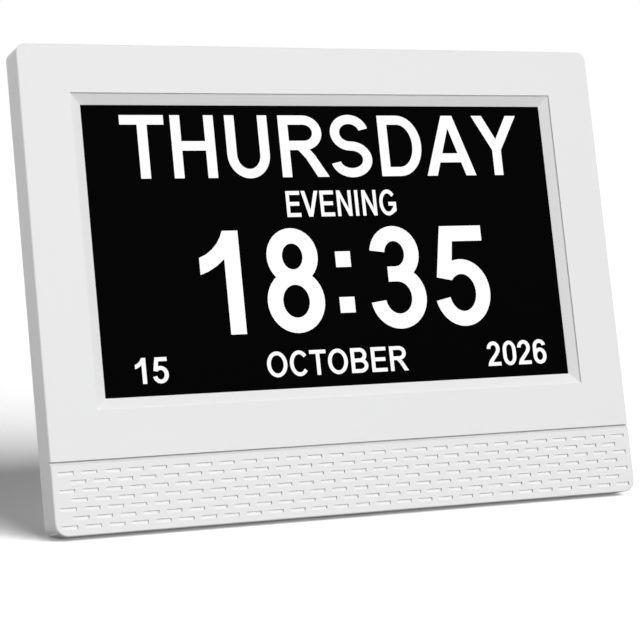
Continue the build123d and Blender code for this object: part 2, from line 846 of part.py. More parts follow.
# ---------------------------------------------------------------- speaker
cone_length = speaker_length - 2 * speaker_rim
cone_width = speaker_width - 2 * speaker_rim
with BuildPart() as speaker_frame:
    with BuildSketch(face.offset(-cover_inside)):
        with Locations((speaker_x, speaker_y)):
            Rectangle(speaker_length, speaker_width)
    extrude(amount=speaker_rim_thickness)
    with BuildSketch(face.offset(-(cover_inside - speaker_rim_thickness))):
        with Locations((speaker_x, speaker_y)):
            Rectangle(cone_length, cone_width)
    extrude(amount=speaker_basket_depth - speaker_rim_thickness)
    with BuildSketch(face.offset(-cover_inside)):
        with Locations((speaker_x, speaker_y)):
            SlotOverall(cone_length, cone_width)
    extrude(amount=speaker_basket_depth - speaker_rim_thickness, mode=Mode.SUBTRACT)
speaker_frame.part.label = "speaker_frame"
export_step(speaker_frame.part, "parts/speaker_frame.step")

with BuildPart() as speaker_cone:
    with BuildSketch(face.offset(-(cover_inside - cone_inset))):
        with Locations((speaker_x, speaker_y)):
            SlotOverall(cone_length, cone_width)
    extrude(amount=cone_thickness)
speaker_cone.part.label = "speaker_cone"
export_step(speaker_cone.part, "parts/speaker_cone.step")

with BuildPart() as speaker_magnet:
    with BuildSketch(face.offset(-(cover_inside - speaker_basket_depth))):
        with Locations((speaker_x, speaker_y)):
            Rectangle(magnet_length, magnet_width)
    extrude(amount=speaker_height - speaker_basket_depth)
speaker_magnet.part.label = "speaker_magnet"
export_step(speaker_magnet.part, "parts/speaker_magnet.step")


# ---------------------------------------------------------------- folding leg
heel_front = bay_floor + stop_gap
pocket_end = boot_height + pocket_above_boot - leg_reach
with BuildPart() as stand_leg:
    # Thickness: tapers from the hinge to the tip.
    with BuildSketch(leg_section):
        Polygon(
            (-leg_thickness / 2, 0),
            (leg_thickness / 2, 0),
            (leg_tip_thickness / 2, -leg_reach - boot_floor),
            (-leg_tip_thickness / 2, -leg_reach - boot_floor),
            align=None,
        )
    extrude(amount=leg_width / 2, both=True)
    # Width: parallel at the hinge, then narrower towards the tip.
    with BuildSketch(leg_plane):
        Polygon(
            (-leg_width / 2, leg_thickness),
            (leg_width / 2, leg_thickness),
            (leg_width / 2, -leg_shoulder),
            (leg_tip_width / 2, -leg_reach - boot_floor),
            (-leg_tip_width / 2, -leg_reach - boot_floor),
            (-leg_width / 2, -leg_shoulder),
            align=None,
        )
    extrude(amount=leg_thickness, both=True, mode=Mode.INTERSECT)
    # Two lightening pockets in the leg's inner side, with a rib left between them.
    with BuildSketch(leg_plane.offset(leg_thickness / 2 - pocket_depth)):
        for side in (-1, 1):
            Polygon(
                (side * pocket_rib / 2, -leg_shoulder),
                (side * (leg_width / 2 - pocket_border), -leg_shoulder),
                (side * (leg_tip_width / 2 - pocket_tip_border), pocket_end),
                (side * pocket_rib / 2, pocket_end),
                align=None,
            )
    extrude(amount=leg_thickness, mode=Mode.SUBTRACT)
    # Barrel round the hinge pin, and the heel that stops the leg against the bay's floor.
    with BuildSketch(leg_section):
        Circle(barrel_radius)
    extrude(amount=leg_width / 2, both=True)
    with BuildSketch(face.offset(-heel_front)):
        with Locations((0, hinge_height + heel_length / 2)):
            Rectangle(heel_width, heel_length)
    extrude(amount=-(hinge_depth - heel_front))
    with BuildSketch(leg_section):
        Circle(pin_radius + pin_running_gap)
    extrude(amount=leg_width, both=True, mode=Mode.SUBTRACT)
    # The tip ends level, on the boot's floor.
    split(bisect_by=Plane.XY.offset(boot_floor), keep=Keep.TOP)
stand_leg.part.label = "stand_leg"
export_step(stand_leg.part, "parts/stand_leg.step")

with BuildPart() as leg_pad:
    with BuildSketch(leg_plane):
        with Locations((0, -leg_reach)):
            Rectangle(leg_tip_width + 2 * boot_wall + boot_spread, 2 * boot_height)
    extrude(amount=boot_half, both=True)
    fillet(leg_pad.edges().filter_by(along_leg), boot_wall)
    split(bisect_by=Plane.XY, keep=Keep.TOP)
    add(stand_leg.part, mode=Mode.SUBTRACT)
leg_pad.part.label = "leg_pad"
export_step(leg_pad.part, "parts/leg_pad.step")

with BuildPart() as leg_pin:
    with BuildSketch(leg_section):
        Circle(pin_radius)
    extrude(amount=bay_outer_width / 2, both=True)
leg_pin.part.label = "leg_pin"
export_step(leg_pin.part, "parts/leg_pin.step")


# ---------------------------------------------------------------- push buttons
flange_back = cover_inside - button_rest_gap
flange_face = flange_back - button_flange_thickness
stem_end = board_back + switch_height + plunger_height + press_gap
for name, place in zip(button_names, button_places):
    with BuildPart() as button:
        with BuildSketch(face.offset(-flange_face)):
            with Locations(place):
                Rectangle(button_length + 2 * button_flange, button_width + 2 * button_flange)
        extrude(amount=-button_flange_thickness)
        with BuildSketch(face.offset(-flange_face)):
            with Locations(place):
                Rectangle(button_length, button_width)
        extrude(amount=-(total_depth + button_standout - flange_face))
        chamfer(button.faces().sort_by(outward)[0].edges(), button_chamfer)
        with BuildSketch(face.offset(-flange_face)):
            with Locations(place):
                Rectangle(button_stem_width, button_stem_width)
        extrude(amount=flange_face - stem_end)
    button.part.label = f"button_{name}"
    export_step(button.part, f"parts/button_{name}.step")
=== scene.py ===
"""A leaning day clock: its finishes, the lettering on its display, its buttons and screws, its stage."""

import json
import math

import bmesh
import bpy
from mathutils import Matrix, Vector


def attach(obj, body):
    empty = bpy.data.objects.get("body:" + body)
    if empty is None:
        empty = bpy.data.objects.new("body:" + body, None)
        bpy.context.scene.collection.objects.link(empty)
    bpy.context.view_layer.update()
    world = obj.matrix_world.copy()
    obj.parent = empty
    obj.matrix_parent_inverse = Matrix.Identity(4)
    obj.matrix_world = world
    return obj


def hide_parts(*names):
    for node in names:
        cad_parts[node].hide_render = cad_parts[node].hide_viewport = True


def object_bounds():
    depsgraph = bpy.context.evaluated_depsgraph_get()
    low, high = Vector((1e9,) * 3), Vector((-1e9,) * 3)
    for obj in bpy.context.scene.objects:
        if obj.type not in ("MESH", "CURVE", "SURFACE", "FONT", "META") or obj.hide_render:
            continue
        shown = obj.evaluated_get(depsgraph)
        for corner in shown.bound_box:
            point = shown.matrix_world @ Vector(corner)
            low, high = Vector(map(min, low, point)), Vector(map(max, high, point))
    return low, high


bl_info = {
    "name": "Day Clock",
    "version": (1, 0, 0),
    "blender": (4, 5, 0),
    "location": "View3D > Sidebar > Day Clock",
    "description": "Finishes, lettering and small pieces of a leaning day clock",
    "category": "Object",
}

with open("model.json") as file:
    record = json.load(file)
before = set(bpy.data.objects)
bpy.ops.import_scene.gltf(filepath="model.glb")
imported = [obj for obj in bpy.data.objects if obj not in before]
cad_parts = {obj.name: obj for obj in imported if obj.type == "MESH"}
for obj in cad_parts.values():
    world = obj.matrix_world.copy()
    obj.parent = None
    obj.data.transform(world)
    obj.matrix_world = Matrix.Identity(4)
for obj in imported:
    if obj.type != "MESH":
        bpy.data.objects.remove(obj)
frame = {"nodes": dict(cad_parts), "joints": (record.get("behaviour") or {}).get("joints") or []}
CAD_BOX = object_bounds()
CLOCK_CENTRE = (CAD_BOX[0] + CAD_BOX[1]) / 2
MM = 0.001
TOUCH = 0.001 * MM


# ---------------------------------------------------------------- places taken from the frame


def joint_axis(name):
    """The direction in which a joint moves, in the row frame."""
    return next(Vector(joint["axis"]) for joint in frame["joints"] if joint["name"] == name)


OUT = joint_axis("press_power").normalized()
ACROSS = Vector((1, 0, 0))
UP = OUT.cross(ACROSS)


def leaning_box(node):
    """The lowest and highest corner of a node that lies square to the face, in across, up and out."""
    corners = [vert.co for vert in frame["nodes"][node].data.vertices]
    spans = [[axis.dot(corner) for corner in corners] for axis in (ACROSS, UP, OUT)]
    return Vector(map(min, spans)), Vector(map(max, spans))


def leaning_place(across, up, out, facing=1):
    """The matrix that lays a drawing on the leaning housing, facing the front, or the back at -1."""
    turn = Matrix((facing * ACROSS, UP, facing * OUT)).transposed().to_4x4()
    return turn @ Matrix.Translation((facing * across, up, facing * out))


GLASS_LOW, GLASS_HIGH = leaning_box("lcd_glass")
GLASS_CENTRE = (GLASS_LOW + GLASS_HIGH) / 2


# ---------------------------------------------------------------- sizes and colours


def length(name, description, default):
    """A length in metres that a user can change, given here in millimetres."""
    return bpy.props.FloatProperty(
        name=name, description=description, default=default * MM, min=0, unit="LENGTH", precision=5
    )


def colour(name, description, default):
    """A surface colour that a user can change."""
    return bpy.props.FloatVectorProperty(
        name=name, description=description, default=default, size=3, min=0, max=1, subtype="COLOR"
    )


def grey(level):
    """A colour that is the same in red, green and blue."""
    return (level, level, level)


class DayClockSizes(bpy.types.PropertyGroup):
    """Sizes of the pieces that are added to the housing."""

    letter_thickness: length("Lettering thickness", "How far the letters stand off the display", 0.03)
    button_corner: length("Button corner", "Radius of a button cap's corners", 1.1)
    button_edge: length("Button edge", "Radius of the rolled edge around a button cap", 0.35)
    cap_depth: length("Cap depth", "Depth of a button's cap, down to its flange", 3.2)
    flange_width: length("Flange width", "How far a button's flange reaches out behind the cover", 0.8)
    flange_depth: length("Flange depth", "Thickness of a button's flange", 0.8)
    stem_width: length("Stem width", "Width of the stem that presses the switch", 2.4)
    mark_height: length("Mark height", "How far the mark on a button stands up", 0.08)
    mark_size: length("Mark size", "Height of the mark on a button", 2.2)
    screw_head: length("Screw head", "Radius of a screw's head", 1.9)
    screw_head_depth: length("Screw head depth", "Depth of a screw's head", 1.0)
    screw_dome: length("Screw dome", "Radius of the rounded rim of a screw's head", 0.7)
    screw_shank: length("Screw shank", "Radius of a screw's shank", 1.0)
    recess_width: length("Recess width", "Width of one arm of a screw's cross recess", 0.5)
    recess_length: length("Recess length", "Length of the cross recess from tip to tip", 2.0)
    recess_depth: length("Recess depth", "Depth of a screw's cross recess", 0.6)


class DayClockColours(bpy.types.PropertyGroup):
    """Colours of the clock's finishes."""

    housing: colour("Housing", "Moulded white front shell and band", (0.830, 0.830, 0.832))
    cover: colour("Cover", "Moulded white rear cover and leg", (0.80, 0.80, 0.80))
    button: colour("Buttons", "Light grey button caps", (0.56, 0.57, 0.58))
    display: colour("Display", "Black front of the display", (0.0006, 0.0006, 0.0007))
    lettering: colour("Lettering", "Lit letters and numbers", (1.0, 1.0, 1.0))
    mark: colour("Marks", "Dark print on the marks of the buttons", (0.06, 0.065, 0.07))
    board: colour("Board", "Solder mask of the main board", (0.012, 0.10, 0.04))
    boot: colour("Boot", "Rubber foot of the leg", (0.022, 0.022, 0.023))


def position(name, description, default):
    """A place that a user can change."""
    return bpy.props.FloatVectorProperty(
        name=name, description=description, default=default, size=3, subtype="TRANSLATION", precision=5
    )


def sun_angles(name, heading, height, spread):
    """The angles of a sun lamp that a user can change, given here in degrees."""
    return bpy.props.FloatVectorProperty(
        name=name,
        description="Heading from straight ahead towards the right, height above the floor, spread",
        default=[math.radians(angle) for angle in (heading, height, spread)],
        size=3,
        subtype="EULER",
    )


def brightness(name, description, default):
    """The strength or power of a light that a user can change."""
    return bpy.props.FloatProperty(name=name, description=description, default=default, min=0)


class DayClockView(bpy.types.PropertyGroup):
    """Where the camera stands, and how the stage is lit."""

    camera_place: position("Camera place", "Where the camera stands", (-0.28116, -0.60901, 0.11638))
    camera_heading: bpy.props.FloatProperty(
        name="Camera heading",
        description="Turn of the camera from straight at the clock, towards its right",
        default=math.radians(24.70),
        subtype="ANGLE",
    )
    camera_dip: bpy.props.FloatProperty(
        name="Camera dip",
        description="How far the camera looks down",
        default=math.radians(5.05),
        subtype="ANGLE",
    )
    camera_lens: bpy.props.FloatProperty(
        name="Lens", description="Focal length in millimetres", default=122.8, min=1
    )
    key_angles: sun_angles("Key", 17, 32, 48)
    key_strength: brightness("Key strength", "Strength of the key light on the clock", 2.7)
    floor_angles: sun_angles("Floor light", 29, 27, 55)
    floor_strength: brightness("Floor light strength", "Strength of the light on the floor", 5.8)
    fill_strength: brightness("Fill strength", "Strength of the even light from all round", 0.08)
    box_width: bpy.props.FloatProperty(
        name="Soft box width", description="Width of each soft box", default=0.5, min=0, unit="LENGTH"
    )
    side_place: position("Side box", "Where the soft box at the left side stands", (-0.95, 0.15, 0.20))
    side_power: brightness("Side box power", "Power in watts", 3.4)
    back_place: position("Back box", "Where the soft box behind the clock stands", (0.25, 1.0, 0.75))
    back_power: brightness("Back box power", "Power in watts", 8.0)


# ---------------------------------------------------------------- shaders

# The Mix node's sockets for two colours, and its output for the mixed one.
MIX_LOW = 6
MIX_HIGH = 7
MIXED_COLOUR = 2

# Samples that soften an edge, and the width of the slow changes over a moulding.
EDGE_SAMPLES = 6
FLOW = 45 * MM


class Value:
    """An output of a node, on which sums are written as sums."""

    def __init__(self, nodes, socket):
        self.nodes = nodes
        self.socket = socket

    def maths(self, operation, other):
        """Adds the Math node that joins this value with another."""
        return self.nodes.add("ShaderNodeMath", {"operation": operation}, {0: self, 1: other})

    def __add__(self, other):
        return self.maths("ADD", other)

    def __mul__(self, other):
        return self.maths("MULTIPLY", other)

    def most(self, other):
        """The larger of two values."""
        return self.maths("MAXIMUM", other)

    __radd__ = __add__
    __rmul__ = __mul__


class Nodes:
    """A node tree that starts empty, with one method that adds any node."""

    def __init__(self, tree):
        self.tree = tree
        tree.nodes.clear()

    def add(self, kind, settings=None, values=None, output=0):
        """Adds a node, makes its settings, fills its sockets and returns one output, if it has any."""
        node = self.tree.nodes.new(kind)
        for name, setting in (settings or {}).items():
            setattr(node, name, setting)
        for name, value in (values or {}).items():
            if isinstance(value, Value):
                self.tree.links.new(value.socket, node.inputs[name])
            else:
                node.inputs[name].default_value = value
        return Value(self, node.outputs[output]) if node.outputs else None

    def rays_to_the_eye(self):
        """1 where the camera, a mirror or a clear piece sees the surface, 0 where it lights others."""
        kinds = ("Is Camera Ray", "Is Glossy Ray", "Is Transmission Ray")
        camera, glossy, clear = [self.add("ShaderNodeLightPath", output=kind) for kind in kinds]
        return camera.most(glossy).most(clear)


class Finish(Nodes):
    """A material whose patterns read Object coordinates."""

    def __init__(self, name):
        self.material = bpy.data.materials.new(name)
        self.material.use_nodes = True
        super().__init__(self.material.node_tree)
        self.place = self.add("ShaderNodeTexCoord", output="Object")

    def noise(self, size, detail=2.0, stretch=(1, 1, 1)):
        """A soft pattern of lumps about as wide as size, longer along an axis with a small stretch."""
        at = self.add("ShaderNodeMapping", {}, {"Vector": self.place, "Scale": stretch})
        return self.add("ShaderNodeTexNoise", {}, {"Vector": at, "Scale": 1 / size, "Detail": detail})

    def cells(self, size):
        """A pattern of pits about as far apart as size."""
        return self.add("ShaderNodeTexVoronoi", {}, {"Vector": self.place, "Scale": 1 / size}, "Distance")

    def between(self, mask, low, high):
        """A colour that goes from low to high as the mask goes from 0 to 1."""
        start = low if isinstance(low, Value) else (*low, 1)
        colours = {"Factor": mask, MIX_LOW: start, MIX_HIGH: (*high, 1)}
        return self.add("ShaderNodeMix", {"data_type": "RGBA"}, colours, MIXED_COLOUR)

    def relief(self, height, depth, round_edge=0.0):
        """Surface relief of a given depth, over edges that are softened by a small radius."""
        values = {"Height": height, "Distance": depth, "Strength": 1.0}
        if round_edge:
            values["Normal"] = self.add(
                "ShaderNodeBevel", {"samples": EDGE_SAMPLES}, {"Radius": round_edge}
            )
        return self.add("ShaderNodeBump", {}, values)

    def finish(self, **sockets):
        """Closes the material with a Principled shader, with underscores for spaces in its sockets."""
        values = {name.replace("_", " "): value for name, value in sockets.items()}
        shader = self.add("ShaderNodeBsdfPrincipled", {}, values, output="BSDF")
        self.add("ShaderNodeOutputMaterial", {}, {"Surface": shader})
        return self.material


def tinted(level, by):
    """A colour made darker or lighter by a factor."""
    return tuple(min(channel * by, 1.0) for channel in level)


def moulded_plastic(name, base, grain, depth, roughness, edge=0.0):
    """Moulded plastic: a fine tool texture, and slow changes of shade and sheen over the moulding."""
    finish = Finish(name)
    flow = finish.noise(FLOW, detail=1.0)
    speckle = finish.noise(grain, detail=1.0)
    return finish.finish(
        Base_Color=finish.between(flow, tinted(base, 0.985), tinted(base, 1.01)),
        Roughness=roughness + 0.06 * flow + 0.05 * speckle,
        Normal=finish.relief(speckle, depth, edge),
    )


def spark_plastic(name, base, grain, depth, roughness, edge=0.0):
    """Moulded plastic with the coarser pitted texture that hides handling marks, its pits and hollows
    painted a little darker as painted shade.
    """
    finish = Finish(name)
    flow = finish.noise(FLOW, detail=1.0)
    pits = finish.cells(grain)
    lumps = finish.noise(grain * 2, detail=2.0)
    texture = 0.5 * pits + 0.5 * lumps
    return finish.finish(
        # The colour follows the relief: the low parts of the texture are painted darker, painted shade in
        # its pits and hollows.
        Base_Color=finish.between(texture, tinted(base, 0.965), tinted(base, 1.01)),
        Roughness=roughness + 0.05 * flow + 0.08 * lumps,
        Normal=finish.relief(texture, depth, edge),
    )


def display_film(name, base):
    """The display's black front under an anti-glare film, which is a fine matt haze."""
    finish = Finish(name)
    haze = finish.noise(0.12 * MM, detail=1.0)
    return finish.finish(
        Base_Color=finish.between(haze, base, tinted(base, 1.3)),
        Roughness=0.36 + 0.06 * haze,
        Specular_IOR_Level=0.004,
        Normal=finish.relief(haze, 0.002 * MM),
    )


def lit_letters(name, base):
    """White picture elements lit from behind, a little uneven from one to the next."""
    finish = Finish(name)
    evenness = finish.noise(25 * MM, detail=1.0)
    return finish.finish(
        Base_Color=finish.between(evenness, grey(0.01), grey(0.02)),
        Roughness=0.5 + 0.05 * evenness,
        Specular_IOR_Level=0.03,
        Emission_Color=finish.between(evenness, tinted(base, 0.985), base),
        Emission_Strength=1.0,
    )


def metal(name, base, roughness, streak, along=(1, 1, 0.05), edge=0.0):
    """Bare or plated metal with fine streaks left by rolling, drawing or grinding."""
    finish = Finish(name)
    streaks = finish.noise(streak, detail=2.0, stretch=along)
    cloud = finish.noise(6 * MM, detail=2.0)
    return finish.finish(
        Base_Color=finish.between(cloud, tinted(base, 0.9), base),
        Metallic=1.0,
        Roughness=roughness + 0.12 * streaks + 0.05 * cloud,
        Normal=finish.relief(streaks, 0.01 * MM, edge),
    )


def rubber(name, base):
    """Matt moulded rubber, lightly bloomed."""
    finish = Finish(name)
    bloom = finish.noise(4 * MM, detail=3.0)
    grain = finish.noise(0.35 * MM, detail=1.0)
    return finish.finish(
        Base_Color=finish.between(bloom, base, tinted(base, 1.7)),
        Roughness=0.68 + 0.12 * bloom,
        Normal=finish.relief(grain, 0.03 * MM, 0.2 * MM),
    )


def solder_mask(name, base):
    """A circuit board: copper traces that show as paler lines under the solder mask."""
    finish = Finish(name)
    layout = {"Scale": 90.0, "Mortar Size": 0.02, "Brick Width": 0.9, "Row Height": 0.16}
    layout["Vector"] = finish.place
    traces = finish.add("ShaderNodeTexBrick", {"offset": 0.37}, layout, "Fac")
    cloud = finish.noise(12 * MM)
    mask = finish.between(cloud, tinted(base, 0.85), base)
    return finish.finish(
        Base_Color=finish.between(traces, mask, tinted(base, 1.8)),
        Roughness=0.3 + 0.1 * cloud,
        Normal=finish.relief(traces, 0.02 * MM),
    )


def clear_acrylic(name):
    """The edge-lit plate, clear with rows of printed dots."""
    finish = Finish(name)
    dots = finish.cells(1.2 * MM)
    return finish.finish(
        Base_Color=finish.between(dots, grey(0.95), grey(0.8)),
        Roughness=0.08 + 0.3 * dots,
        Transmission_Weight=0.8,
        IOR=1.49,
    )


def all_finishes(colours):
    """Every finish by the slot that it fills."""
    return {
        "housing": moulded_plastic("satin_white", colours.housing, 0.35 * MM, 0.012 * MM, 0.42),
        "cover": spark_plastic("spark_white", colours.cover, 0.5 * MM, 0.035 * MM, 0.52, 0.3 * MM),
        "leg": spark_plastic("spark_white_leg", colours.cover, 0.5 * MM, 0.035 * MM, 0.50, 0.4 * MM),
        "button": moulded_plastic("satin_grey", colours.button, 0.3 * MM, 0.012 * MM, 0.40),
        "display": display_film("display_film", colours.display),
        "tray": metal("rolled_steel", grey(0.55), 0.32, 0.4 * MM, edge=0.1 * MM),
        "sheet": moulded_plastic("diffuser_film", grey(0.88), 0.2 * MM, 0.004 * MM, 0.7),
        "light_guide": clear_acrylic("clear_acrylic"),
        "led": moulded_plastic("phosphor", (0.85, 0.68, 0.2), 0.1 * MM, 0.004 * MM, 0.5),
        "ribbon": moulded_plastic("polyimide", (0.5, 0.17, 0.02), 0.4 * MM, 0.004 * MM, 0.3),
        "board": solder_mask("solder_mask", colours.board),
        "chip": moulded_plastic("chip_resin", grey(0.012), 0.15 * MM, 0.01 * MM, 0.55, 0.1 * MM),
        "can": metal("drawn_can", grey(0.75), 0.25, 0.3 * MM, edge=0.15 * MM),
        "cell": metal("cell_steel", grey(0.68), 0.22, 0.5 * MM, (1, 0.05, 1)),
        "socket": moulded_plastic("socket_black", grey(0.016), 0.25 * MM, 0.01 * MM, 0.5, 0.1 * MM),
        "screw": metal("nickel_plate", (0.58, 0.57, 0.55), 0.28, 0.15 * MM, edge=0.08 * MM),
        "basket": moulded_plastic("basket_black", grey(0.015), 0.25 * MM, 0.012 * MM, 0.5, 0.15 * MM),
        "cone": rubber("paper_cone", grey(0.012)),
        "magnet": metal("plated_magnet", grey(0.3), 0.4, 0.3 * MM),
        "pin": metal("ground_pin", grey(0.62), 0.2, 0.2 * MM, (0.05, 1, 1)),
        "boot": rubber("boot_rubber", colours.boot),
    }


# ---------------------------------------------------------------- mesh helpers

# Sides of a round bar, and steps of a rounded corner, of a cap's rolled edge and of a screw's dome.
ROUND_SIDES = 40
CORNER_STEPS = 6
EDGE_STEPS = 4
DOME_STEPS = 5


def make_piece(name, bm, place, body, slot_name, finish_name, *replaced):
    """Turns a bmesh into a finished piece that rides on a body."""
    bmesh.ops.recalc_face_normals(bm, faces=bm.faces)
    mesh = bpy.data.meshes.new(name)
    bm.to_mesh(mesh)
    bm.free()
    mesh.transform(place)
    mesh.materials.append(bpy.data.materials[finish_name])
    piece = bpy.data.objects.new(name, mesh)
    bpy.context.scene.collection.objects.link(piece)
    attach(piece, body)
    if replaced:
        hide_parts(*replaced)
    return piece


def flat_face(bm, points):
    """One flat face through a few points."""
    return bm.faces.new([bm.verts.new((*point, 0)) for point in points])


def raise_faces(bm, faces, height):
    """Pulls faces up, or down where the height is negative, and leaves the faces themselves too.

    So a lone face becomes a closed block, but a face of a block becomes a lid over what is pulled.
    """
    raised = bmesh.ops.extrude_face_region(bm, geom=list(faces))["geom"]
    verts = [item for item in raised if isinstance(item, bmesh.types.BMVert)]
    bmesh.ops.translate(bm, verts=verts, vec=(0, 0, height))


def add_block(bm, width, height, bottom, top):
    """Adds a block around the drawing's upright axis."""
    verts = bmesh.ops.create_cube(bm, size=1)["verts"]
    bmesh.ops.scale(bm, verts=verts, vec=(width, height, top - bottom))
    bmesh.ops.translate(bm, verts=verts, vec=(0, 0, (bottom + top) / 2))


def add_round_bar(bm, radius, bottom, top):
    """Adds a round bar around the drawing's upright axis."""
    verts = bmesh.ops.create_cone(
        bm, cap_ends=True, segments=ROUND_SIDES, radius1=radius, radius2=radius, depth=top - bottom
    )["verts"]
    bmesh.ops.translate(bm, verts=verts, vec=(0, 0, (bottom + top) / 2))


def round_edges(bm, edges, radius, steps):
    """Rounds edges with an arc of a few steps."""
    bmesh.ops.bevel(
        bm, geom=edges, offset=radius, segments=steps,
        affect="EDGES", profile=0.5, material=-1, clamp_overlap=True,
    )


def upright_edges(bm):
    """The edges that run straight along the drawing's upright axis."""
    return [edge for edge in bm.edges if (edge.verts[0].co - edge.verts[1].co).to_2d().length < TOUCH]


def level_with(parts, level):
    """Those edges or faces that lie flat at a level."""
    return [part for part in parts if all(abs(vert.co.z - level) < TOUCH for vert in part.verts)]


# ---------------------------------------------------------------- lettering

# Widths of the upright and level strokes, how far round letters reach past straight ones,
# the steps of half a turn and the fewest steps of any arc. A capital is 1 high.
STEM = 0.18
BEAM = 0.15
OVERSHOOT = 0.012
ARC_STEPS = 20
LEAST_STEPS = 6


class Bar:
    """A straight stroke of a letter, as a box."""

    def __init__(self, left, bottom, right, top):
        self.outline = [(left, bottom), (right, bottom), (right, top), (left, top)]

    def draw(self, bm):
        """Adds the stroke, 1 thick."""
        raise_faces(bm, [flat_face(bm, self.outline)], 1)


class Wedge(Bar):
    """A stroke with a few corners of its own, and with its mirror image where a middle is given."""

    def __init__(self, *outline, middle=None):
        self.outline = list(outline)
        self.middle = middle

    def draw(self, bm):
        """Adds the stroke, and its mirror image if it has one."""
        super().draw(bm)
        if self.middle is not None:
            mirrored = [(2 * self.middle - x, y) for x, y in self.outline]
            raise_faces(bm, [flat_face(bm, mirrored)], 1)


class Bow:
    """A curved stroke: the band between two ellipses about one centre."""

    def __init__(self, x, y, across, up, start=0, turn=360, side_width=STEM, top_width=BEAM):
        self.centre = (x, y, 0)
        self.rims = [(across, up, 1), (across - side_width, up - top_width, 1)]
        self.start = math.radians(start)
        self.turn = math.radians(turn)
        self.whole = turn >= 360

    def rim(self, bm, radii):
        """Sweeps one point round the centre and returns the edges of its path."""
        before = set(bm.edges)
        first = bm.verts.new((math.cos(self.start), math.sin(self.start), 0))
        steps = max(LEAST_STEPS, round(ARC_STEPS * self.turn / math.pi))
        bmesh.ops.spin(
            bm, geom=[first], cent=(0, 0, 0), axis=(0, 0, 1),
            angle=self.turn, steps=steps, use_merge=self.whole,
        )
        edges = [edge for edge in bm.edges if edge not in before]
        verts = list({vert for edge in edges for vert in edge.verts})
        bmesh.ops.scale(bm, verts=verts, vec=radii)
        bmesh.ops.translate(bm, verts=verts, vec=self.centre)
        return edges

    def draw(self, bm):
        """Adds the stroke, 1 thick."""
        edges = [edge for radii in self.rims for edge in self.rim(bm, radii)]
        raise_faces(bm, bmesh.ops.bridge_loops(bm, edges=edges)["faces"], 1)


def stem(left, bottom=0, top=1):
    """An upright stroke of the usual width."""
    return Bar(left, bottom, left + STEM, top)


def beam(left, right, bottom=0):
    """A level stroke of the usual width, at the foot of the letter unless its bottom is given."""
    return Bar(left, bottom, right, bottom + BEAM)


def top_beam(left, right):
    """A level stroke along the top of the letter."""
    return beam(left, right, 1 - BEAM)


def half_bow(x, y, across, up):
    """The right half of a bow."""
    return Bow(x, y, across, up, -90, 180)


